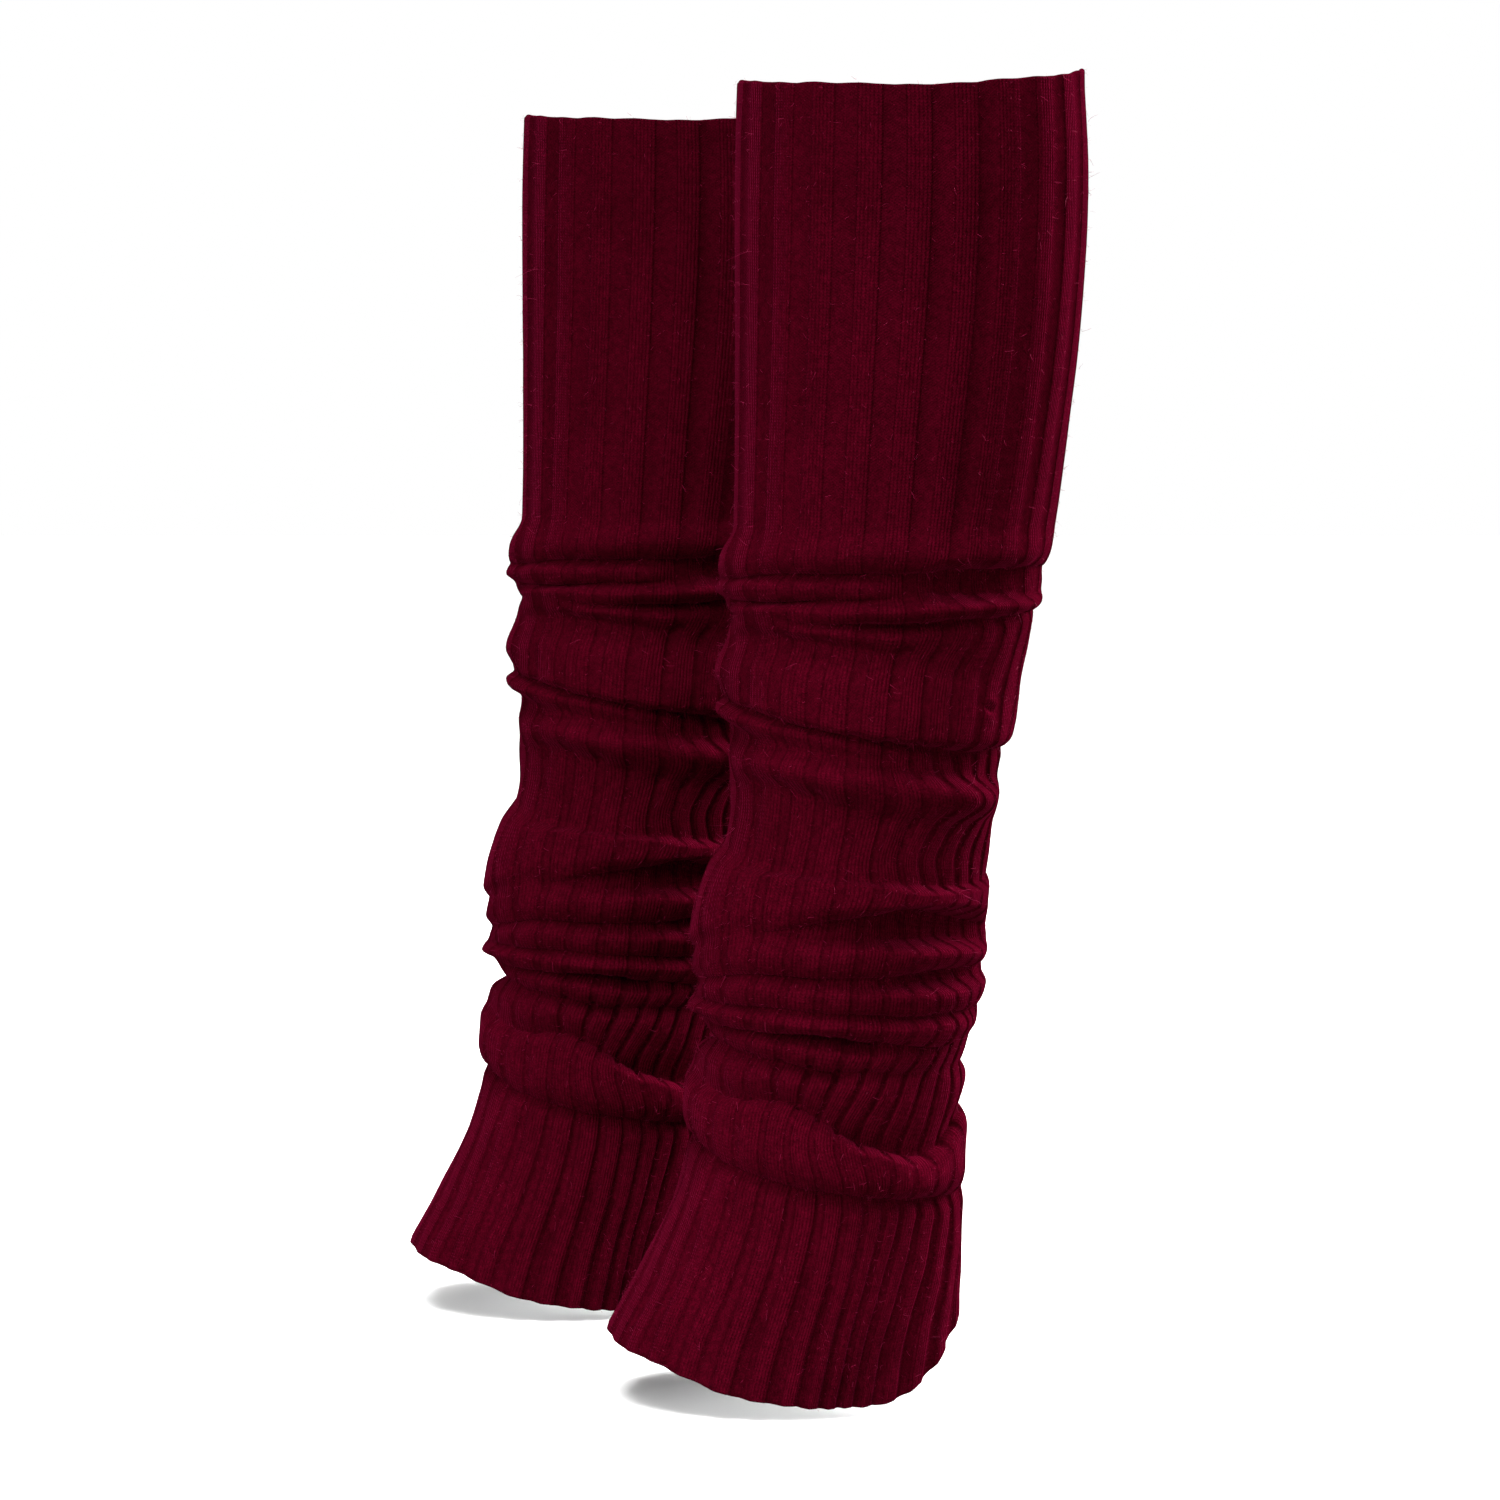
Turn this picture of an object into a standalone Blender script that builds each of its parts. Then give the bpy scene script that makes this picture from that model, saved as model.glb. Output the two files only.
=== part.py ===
"""Pair of wide rib knit leg warmers, worn over the lower leg and pushed down into folds.

Each leg warmer is one knitted tube with an open top and an open hem. Z runs up the leg,
-Y points to the toes and +X to the wearer's left. The origin is the centre of the top
opening of the left leg warmer. Tables are in millimetres and degrees: a level is a depth
below the origin, and an angle runs round the leg from the shin (0) over the wearer's left
side (90) and the back (180) to the right side (270).
"""

import math
from collections import namedtuple

import bmesh
import bpy
from mathutils import Vector

MM = 0.001
TURN = 360.0

# Sizes of the pair
RIB_COUNT = 26
WALL = 2.2
# Least cosine of half the turn at a fold that the inside's mitre allows for
MITRE_LIMIT = 0.75
STEP_ACROSS = -167.0
STEP_FORWARD = -80.0
RIGHT_TURN = 2.9

# Share of the way down the plain top and the flare at which a row of points lies
TOP_SHARES = (0.0, 0.4, 0.75)
FLARE_SHARES = (0.33, 0.66, 1.0)

# Colour and finish of the yarn
YARN_COLOUR = (0.058, 0.001, 0.006, 1.0)
YARN_ROUGHNESS = 0.92
SHARP_ANGLE = 55.0

# The leg's form under the folds: how far its front, back and sides stand from the axis
Section = namedtuple("Section", "level front back side")
SECTIONS = (
    Section(level=0, front=59.3, back=57.5, side=57.0),
    Section(level=22, front=60.0, back=58.8, side=57.0),
    Section(level=75, front=60.5, back=57.0, side=56.5),
    Section(level=120, front=60.8, back=52.0, side=54.5),
    Section(level=155, front=61.5, back=47.0, side=52.0),
    Section(level=180, front=63.0, back=41.0, side=50.0),
    Section(level=210, front=63.5, back=35.0, side=48.0),
    Section(level=245, front=63.5, back=28.5, side=45.5),
    Section(level=270, front=69.0, back=26.6, side=43.5),
    Section(level=300, front=73.3, back=24.8, side=42.0),
    Section(level=330, front=73.8, back=19.4, side=41.0),
    Section(level=355, front=75.4, back=18.0, side=41.5),
    Section(level=375, front=80.8, back=18.0, side=43.0),
    Section(level=400, front=92.0, back=18.0, side=45.0),
    Section(level=420, front=103.2, back=16.7, side=46.5),
    Section(level=440, front=112.0, back=15.8, side=47.5),
)

# Which rib stands at the front, outer side and back, and the groove between two ribs
RibSpread = namedtuple("RibSpread", "level front outer back groove_share groove_depth")
RIB_SPREADS = (
    RibSpread(level=0, front=-0.3, outer=5.45, back=11.5, groove_share=0.50, groove_depth=0.9),
    RibSpread(level=150, front=-0.1, outer=5.5, back=12.0, groove_share=0.48, groove_depth=0.9),
    RibSpread(level=205, front=0.1, outer=5.5, back=12.5, groove_share=0.42, groove_depth=1.2),
    RibSpread(level=260, front=-0.2, outer=5.45, back=13.4, groove_share=0.36, groove_depth=1.3),
    RibSpread(level=365, front=-0.5, outer=6.0, back=14.3, groove_share=0.34, groove_depth=1.4),
    RibSpread(level=440, front=-1.2, outer=6.0, back=15.3, groove_share=0.34, groove_depth=1.4),
)

# Where the slack cloth pulls the ribs sideways, as a soft patch of the given reach
Sway = namedtuple("Sway", "level angle reach_down reach_round degrees")
SWAYS = (
    Sway(level=183, angle=130, reach_down=9, reach_round=40, degrees=5.0),
    Sway(level=242, angle=140, reach_down=10, reach_round=38, degrees=12.0),
    Sway(level=317, angle=135, reach_down=14, reach_round=36, degrees=8.0),
    Sway(level=348, angle=122, reach_down=15, reach_round=34, degrees=-7.0),
    Sway(level=215, angle=260, reach_down=14, reach_round=40, degrees=-6.0),
    Sway(level=300, angle=285, reach_down=16, reach_round=36, degrees=-8.0),
)

# Stations round the leg: shin, front left, left side, back left, back and right side
STATIONS = (0, 45, 90, 135, 180, 270)

# The two open edges, as levels at the stations
RIM = (-0.7, 2.4, 4.3, 0.7, -4.7, 4.3)
HEM = (421.2, 426.5, 438.0, 438.0, 413.5, 434.0)

# Ridges and creases from the top down: their levels at the stations, and how far
# the cloth stands out from the leg's form there
Fold = namedtuple("Fold", "name levels bulges")
FOLDS = (
    Fold("stretch end", (147, 147, 147, 147, 146, 147), (-0.6, -0.3, -0.3, -0.3, 0, -0.3)),
    Fold("brow", (160.5, 157.5, 156.5, 157, 154.5, 156), (3.5, 1.5, 1.2, 1.2, 0.3, 1.2)),
    Fold("first crease", (165, 163, 164, 164.2, 162.5, 164), (2.5, -1, -3, -3.6, -0.8, -2.2)),
    Fold("first roll", (169, 167, 167.5, 167.5, 166, 168), (4.2, 1.6, 0.4, -2.6, 0, 1)),
    Fold("second crease", (172, 171.8, 171.2, 170, 169, 171.6), (1, -1.6, -2.8, -2.8, -0.8, -1.6)),
    Fold("cross roll", (174.8, 175, 174.6, 173, 172.3, 175.2), (-0.8, 2, 2.2, 2.4, 1, 2.2)),
    Fold("third crease", (177.8, 178, 179, 176.6, 175.6, 179), (-2.5, -1, -2.4, -3, -0.8, -2.4)),
    Fold("soft roll", (181, 181, 182.6, 180.2, 179, 183), (-1.3, 0.3, 0.6, -0.8, 0, 0.6)),
    Fold("soft crease", (185, 184, 186.6, 185, 183.5, 187), (-0.6, -1, -1.6, -1.2, 0, -1.4)),
    Fold("slack", (197.5, 196.5, 200, 201, 197, 200), (3.1, 1.5, 1.2, 1.2, 0.3, 1.6)),
    Fold("slack lip", (203, 207.5, 216, 218.8, 217.5, 217), (0.8, 1.6, 2.2, 2.2, 0.8, 2.2)),
    Fold("lip crease", (205.8, 210.2, 219, 222, 221.5, 220.5), (0.2, -1.6, -2.8, -3, -1.6, -2.8)),
    Fold("small roll", (209, 213.4, 222.6, 226, 226, 224), (3.8, 1.6, -0.6, -2, -0.6, -0.4)),
    Fold("small crease", (214.8, 217.6, 226.4, 230, 231, 228), (-2.2, -1.2, -1, -1.8, -0.8, -1.2)),
    Fold("bright roll", (226.5, 226.5, 231.5, 236.9, 240, 235), (-1.2, 0.2, 1.8, 2.2, 0.6, 2)),
    Fold("spot crease", (237.3, 236.5, 241, 245.6, 248, 242), (-1.1, -0.8, -2.6, -2.2, -1.5, -2)),
    Fold("hollow", (253.6, 257, 259.5, 262.5, 265, 259), (-1.4, -1.4, -1.5, -1.6, -0.2, -1.5)),
    Fold("shelf top", (264, 264, 266, 269, 271, 267), (2, 1.8, 2, 1.7, 0.4, 1.8)),
    Fold("shelf", (285.8, 277, 272.5, 274, 278, 275), (4.8, 3, 2.2, 1.8, -0.3, 2.6)),
    Fold("pocket", (291.5, 283.5, 280, 281.4, 285, 283), (1.4, -0.8, -3.4, -5, -1, -2.8)),
    Fold("band roll", (297.3, 290.5, 289.2, 290, 291, 290), (1.8, 1.6, 1.9, 1.9, 0, 2)),
    Fold("band crease", (302.4, 296.2, 296.4, 296.8, 296, 296.5), (-0.8, -1.8, -2.8, -3.6, -1.6, -2.6)),
    Fold("rib roll", (305, 301.8, 302.4, 303.4, 302.4, 302.5), (-0.4, 1.2, 1.6, 1.6, 0.8, 1.6)),
    Fold("thin crease", (307.6, 307.2, 308.6, 310, 309.6, 309), (0.4, -1.5, -1.7, -2, -0.6, -1.6)),
    Fold("ankle roll", (310.4, 311.2, 313, 314.4, 314.6, 313.4), (2.8, 1.6, 1.2, 0.6, 0.3, 1.2)),
    Fold("dark crease", (314, 315.4, 317.8, 319.2, 319.4, 318.4), (-1.2, -2, -3.8, -2.4, -1, -2.4)),
    Fold("under roll", (317, 319.2, 322, 323.6, 323.6, 322.8), (-4.4, -0.8, 0, -0.4, -1.8, 0.6)),
    Fold("notch", (320, 323, 327.2, 328.2, 327.8, 327.2), (-6.8, -2.8, -2.6, -2.2, -3.2, -3)),
    Fold("knuckle", (325, 329, 337, 340, 336, 336), (-1, -0.2, 0.2, -0.8, -0.3, 0.4)),
    Fold("shadow", (330, 335.3, 346.5, 352, 343.5, 345), (0.8, -1.6, -2.4, -3.6, -1.2, -2.6)),
    Fold("thick roll top", (336, 341.9, 352, 358.6, 350, 350.5), (3.8, 3, 3, 2.8, 1.2, 3)),
    Fold("thick roll", (343.5, 351.2, 361, 366.4, 363, 360), (4, 3.3, 3.3, 2.9, 1.5, 3.2)),
    Fold("roll crease", (352.4, 361, 368.2, 372.2, 372, 368.6), (-1.6, -2.6, -3.2, -3.2, -0.6, -3)),
    Fold("flare start", (359.5, 367.4, 374.6, 378.6, 379, 375.4), (-0.4, -0.9, -1, -1, 0, -1)),
)


def clear_scene():
    """Removes whatever objects the file opened with."""
    for old in list(bpy.data.objects):
        bpy.data.objects.remove(old, do_unlink=True)


def smooth_value(knots, values, at):
    """Reads a smooth curve through the values, which stand at rising knots."""
    last = len(knots) - 2
    index = 0
    while index < last and at > knots[index + 1]:
        index += 1
    span = knots[index + 1] - knots[index]
    rise = (values[index + 1] - values[index]) / span
    slopes = []
    for knot in (index, index + 1):
        if knot in (0, len(knots) - 1):
            slopes.append(rise)
            continue
        before = knots[knot] - knots[knot - 1]
        after = knots[knot + 1] - knots[knot]
        rise_before = (values[knot] - values[knot - 1]) / before
        rise_after = (values[knot + 1] - values[knot]) / after
        slopes.append((rise_before * after + rise_after * before) / (before + after))
    share = (at - knots[index]) / span
    square = share * share
    cube = square * share
    return (
        values[index] * (2.0 * cube - 3.0 * square + 1.0)
        + slopes[0] * span * (cube - 2.0 * square + share)
        + values[index + 1] * (3.0 * square - 2.0 * cube)
        + slopes[1] * span * (cube - square)
    )


def round_value(values, angle):
    """Reads a smooth closed curve round the leg through values at the stations."""
    knots = [STATIONS[-1] - TURN, *STATIONS, TURN, TURN + STATIONS[1]]
    looped = [values[-1], *values, values[0], values[1]]
    return smooth_value(knots, looped, angle % TURN)


def column_reader(rows, name):
    """Gives a function that reads one column of a table at any level."""
    levels = [row.level for row in rows]
    values = [getattr(row, name) for row in rows]
    return lambda level: smooth_value(levels, values, min(max(level, levels[0]), levels[-1]))


front_at = column_reader(SECTIONS, "front")
back_at = column_reader(SECTIONS, "back")
side_at = column_reader(SECTIONS, "side")
front_rib_at = column_reader(RIB_SPREADS, "front")
outer_rib_at = column_reader(RIB_SPREADS, "outer")
back_rib_at = column_reader(RIB_SPREADS, "back")
groove_share_at = column_reader(RIB_SPREADS, "groove_share")
groove_depth_at = column_reader(RIB_SPREADS, "groove_depth")


def rib_angle(rib, level):
    """The angle at which a place counted in ribs from the shin lies at a level."""
    front = front_rib_at(level)
    outer = outer_rib_at(level)
    back = back_rib_at(level)
    inner = (back + front + RIB_COUNT) / 2.0
    turns = math.floor((rib - front) / RIB_COUNT)
    rib -= turns * RIB_COUNT
    ribs = [inner - RIB_COUNT, front, outer, back, inner, front + RIB_COUNT, outer + RIB_COUNT]
    angles = [-90.0, 0.0, 90.0, 180.0, 270.0, TURN, TURN + 90.0]
    angle = smooth_value(ribs, angles, rib)
    pushed = 0.0
    for sway in SWAYS:
        down = (level - sway.level) / sway.reach_down
        aside = (angle - sway.angle) / sway.reach_round
        pushed += sway.degrees * math.exp(-down * down - aside * aside)
    return angle + pushed


def blend(first, second, share):
    """A row of station values part of the way from one row to another."""
    return tuple(a + (b - a) * share for a, b in zip(first, second))


def cloth_rows():
    """Rows of points from the rim to the hem: levels and bulges at the stations."""
    flat = (0.0,) * len(STATIONS)
    first = FOLDS[0]
    last = FOLDS[-1]
    rows = [(blend(RIM, first.levels, share), flat) for share in TOP_SHARES]
    rows += [(fold.levels, fold.bulges) for fold in FOLDS]
    for share in FLARE_SHARES:
        rows.append((blend(last.levels, HEM, share), blend(last.bulges, flat, share)))
    return rows


def leg_point(level, angle, out):
    """The point that stands a distance out from the leg's form."""
    front = front_at(level)
    back = back_at(level)
    side = side_at(level)
    depth = (front + back) / 2.0
    across = math.sin(math.radians(angle))
    along = -math.cos(math.radians(angle))
    normal = Vector((across * depth, along * side, 0.0)).normalized()
    middle = (back - front) / 2.0
    return Vector((across * side, middle + along * depth, -level)) + normal * out


def row_place(levels, rib):
    """The angle and level where a place counted in ribs meets a row."""
    level = levels[2]
    for _ in range(4):
        angle = rib_angle(rib, level)
        level = round_value(levels, angle)
    return angle, level


def outer_row(levels, bulges):
    """Outer points of one row: for each rib its groove and the two edges of its ridge."""
    points = []
    for rib in range(RIB_COUNT):
        half_groove = groove_share_at(levels[2]) / 2.0
        for step in (0.0, half_groove, 1.0 - half_groove):
            angle, level = row_place(levels, rib + step)
            sunk = groove_depth_at(level) if step == 0.0 else 0.0
            points.append(leg_point(level, angle, round_value(bulges, angle) - sunk))
    return points


def ridge_row(levels, bulges):
    """Points of one row at the level of the ridges, one over each groove."""
    points = []
    for rib in range(RIB_COUNT):
        angle, level = row_place(levels, rib)
        points.append(leg_point(level, angle, round_value(bulges, angle)))
    return points


def inner_rows(ridges):
    """The plain inside of the wall: ridge points moved in square to the cloth."""
    rows = []
    last = len(ridges) - 1
    for index, row in enumerate(ridges):
        points = []
        for rib, point in enumerate(row):
            around = row[(rib + 1) % RIB_COUNT] - row[rib - 1]
            above = ridges[max(index - 1, 0)][rib]
            below = ridges[min(index + 1, last)][rib]
            over = around.cross(above - point).normalized()
            under = around.cross(point - below).normalized()
            outward = (over + under).normalized()
            half_turn = outward.dot(under) if index == 0 else outward.dot(over)
            points.append(point - outward * (WALL / max(half_turn, MITRE_LIMIT)))
        rows.append(points)
    return rows


def add_grid(bm, rows, flip):
    """Joins rows of vertices into the quads of a tube."""
    for upper, lower in zip(rows, rows[1:]):
        count = len(upper)
        for index in range(count):
            after = (index + 1) % count
            corners = [upper[index], lower[index], lower[after], upper[after]]
            if flip:
                corners.reverse()
            bm.faces.new(corners)


def add_edge_band(bm, outer, inner, flip):
    """Closes the wall at an open edge, where three outer points meet one inner point."""
    for rib in range(RIB_COUNT):
        start = 3 * rib
        near = inner[rib]
        far = inner[(rib + 1) % RIB_COUNT]
        groove, left, right = outer[start], outer[start + 1], outer[start + 2]
        next_groove = outer[(start + 3) % len(outer)]
        for corners in ([near, groove, left], [near, left, right, far], [far, right, next_groove]):
            if flip:
                corners.reverse()
            bm.faces.new(corners)


def tube_mesh():
    """The closed wall of one leg warmer, in metres round its own axis."""
    rows = cloth_rows()
    outside = [outer_row(levels, bulges) for levels, bulges in rows]
    inside = inner_rows([ridge_row(levels, bulges) for levels, bulges in rows])
    bm = bmesh.new()
    outer = [[bm.verts.new(point * MM) for point in row] for row in outside]
    inner = [[bm.verts.new(point * MM) for point in row] for row in inside]
    add_grid(bm, outer, flip=False)
    add_grid(bm, inner, flip=True)
    add_edge_band(bm, outer[0], inner[0], flip=False)
    add_edge_band(bm, outer[-1], inner[-1], flip=True)
    bmesh.ops.triangulate(bm, faces=bm.faces[:])
    mesh = bpy.data.meshes.new("rib_knit_tube")
    bm.to_mesh(mesh)
    bm.free()
    mesh.shade_smooth()
    mesh.set_sharp_from_angle(angle=math.radians(SHARP_ANGLE))
    return mesh


def yarn_material():
    """Dark wine red knit."""
    material = bpy.data.materials.new("wine_rib_knit")
    material.use_nodes = True
    shader = material.node_tree.nodes["Principled BSDF"]
    shader.inputs["Base Color"].default_value = YARN_COLOUR
    shader.inputs["Roughness"].default_value = YARN_ROUGHNESS
    shader.inputs["Metallic"].default_value = 0.0
    return material


def place_pair():
    """Two equal leg warmers, the right one a step ahead and turned a little."""
    mesh = tube_mesh()
    mesh.materials.append(yarn_material())
    left = bpy.data.objects.new("leg_warmer_left", mesh)
    right = bpy.data.objects.new("leg_warmer_right", mesh)
    right.location = (STEP_ACROSS * MM, STEP_FORWARD * MM, 0.0)
    right.rotation_euler = (0.0, 0.0, math.radians(RIGHT_TURN))
    for leg_warmer in (left, right):
        bpy.context.scene.collection.objects.link(leg_warmer)


clear_scene()
place_pair()
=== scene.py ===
"""Looks of a pair of wide rib knit leg warmers, worn and pushed down into folds.

The cloth follows the form of the solids, from tables of the same kind, with finer rows,
rounder rolls, sharper creases and raised ribs. Sizes are in millimetres unless a comment
says otherwise. A level is a depth below the rim. An angle runs round the leg in degrees,
from the shin (0) over the wearer's left side (90) and the back (180) to the right side
(270). Z runs up the leg, -Y points to the toes.
"""

import math
from collections import namedtuple

import bpy
import numpy as np
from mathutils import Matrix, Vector


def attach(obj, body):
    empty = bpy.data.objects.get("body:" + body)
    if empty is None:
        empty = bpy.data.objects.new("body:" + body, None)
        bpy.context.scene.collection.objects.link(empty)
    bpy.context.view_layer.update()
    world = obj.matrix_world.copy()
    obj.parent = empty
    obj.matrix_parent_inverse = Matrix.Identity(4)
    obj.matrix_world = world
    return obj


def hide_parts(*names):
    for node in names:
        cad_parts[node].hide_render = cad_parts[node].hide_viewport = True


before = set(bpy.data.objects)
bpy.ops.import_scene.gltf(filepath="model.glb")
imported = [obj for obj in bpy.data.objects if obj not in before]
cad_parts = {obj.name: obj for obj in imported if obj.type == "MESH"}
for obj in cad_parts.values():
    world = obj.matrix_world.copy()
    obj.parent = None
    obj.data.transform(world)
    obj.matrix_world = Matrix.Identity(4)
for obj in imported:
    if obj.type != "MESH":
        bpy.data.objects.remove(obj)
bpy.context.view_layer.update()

MM = 0.001
TURN = 360.0
TINY = 1e-9

# The cloth: its ribs all round, its thickness, and how sharp a fold its inside follows,
# as the cosine of half the turn
RIB_COUNT = 26
WALL = 2.1
MITRE_LIMIT = 0.75

# Where the right leg warmer stands from the left one, and its turn in degrees
STEP_ACROSS = -167.0
STEP_FORWARD = -80.0
RIGHT_TURN = 2.9

# The knit: wales in a groove and on a ridge, and the height of one course
GROOVE_WALES = 5
RIDGE_WALES = 6
RIB_WALES = GROOVE_WALES + RIDGE_WALES
COURSE = 1.05

# The leg's form under the folds: how far its front, back and sides stand from the axis
Section = namedtuple("Section", "level front back side")
SECTIONS = (
    Section(level=0, front=59.3, back=57.5, side=57.0),
    Section(level=22, front=60.0, back=58.8, side=57.0),
    Section(level=75, front=60.5, back=57.0, side=56.5),
    Section(level=120, front=60.8, back=52.0, side=54.5),
    Section(level=155, front=61.5, back=47.0, side=52.0),
    Section(level=180, front=63.0, back=41.0, side=50.0),
    Section(level=210, front=63.5, back=35.0, side=48.0),
    Section(level=245, front=63.5, back=28.5, side=45.5),
    Section(level=270, front=69.0, back=26.6, side=43.5),
    Section(level=300, front=73.3, back=24.8, side=42.0),
    Section(level=330, front=73.8, back=19.4, side=41.0),
    Section(level=355, front=75.4, back=18.0, side=41.5),
    Section(level=375, front=80.8, back=18.0, side=43.0),
    Section(level=400, front=92.0, back=18.0, side=45.0),
    Section(level=420, front=103.2, back=16.7, side=46.5),
    Section(level=440, front=112.0, back=15.8, side=47.5),
)

# Which rib stands at each station from the shin to the back, and the groove between two
# ribs: its share of the rib, and the share that its sloping side takes
RibSpread = namedtuple("RibSpread", "level ribs groove slope")
RIB_SPREADS = (
    RibSpread(level=0, ribs=(-0.3, 2.6, 5.45, 8.4, 11.5), groove=0.48, slope=0.05),
    RibSpread(level=150, ribs=(-0.1, 2.7, 5.5, 8.6, 12.0), groove=0.46, slope=0.06),
    RibSpread(level=205, ribs=(0.1, 2.7, 5.5, 9.1, 12.4), groove=0.36, slope=0.10),
    RibSpread(level=260, ribs=(-0.2, 2.5, 5.45, 9.4, 13.4), groove=0.27, slope=0.12),
    RibSpread(level=365, ribs=(-0.5, 2.6, 6.0, 10.6, 14.3), groove=0.26, slope=0.13),
    RibSpread(level=416, ribs=(-1.0, 2.4, 5.95, 11.9, 15.1), groove=0.42, slope=0.20),
    RibSpread(level=440, ribs=(-1.2, 2.3, 5.95, 12.1, 15.3), groove=0.44, slope=0.20),
)

# Where the slack cloth pulls the ribs sideways, as a soft patch with its reach down the leg
# in millimetres and round it in degrees
Sway = namedtuple("Sway", "level angle reach_down reach_round degrees")
SWAYS = (
    Sway(level=181, angle=128, reach_down=12, reach_round=38, degrees=7.0),
    Sway(level=242, angle=140, reach_down=10, reach_round=38, degrees=12.0),
    Sway(level=268, angle=120, reach_down=7, reach_round=34, degrees=5.0),
    Sway(level=316, angle=135, reach_down=12, reach_round=34, degrees=10.0),
    Sway(level=350, angle=102, reach_down=14, reach_round=30, degrees=-9.0),
    Sway(level=215, angle=260, reach_down=14, reach_round=40, degrees=-6.0),
    Sway(level=300, angle=285, reach_down=16, reach_round=36, degrees=-8.0),
)

# Stations round the leg: shin, front left, left side, back left, back and right side
STATIONS = (0, 45, 90, 135, 180, 270)
LEFT_SIDE = STATIONS.index(90)

# The stations with their neighbours on both ends, for curves that close round the leg
LOOPED_STATIONS = (STATIONS[-1] - TURN, *STATIONS, TURN, TURN + STATIONS[1])

# How the cloth turns at a line: round over a ridge, tucked in under a roll, hanging in
# behind a ledge, eased in a soft dip, or straight on
RIDGE, TUCK, LEDGE, DIP, PLAIN = "ridge", "tuck", "ledge", "dip", "plain"

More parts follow.
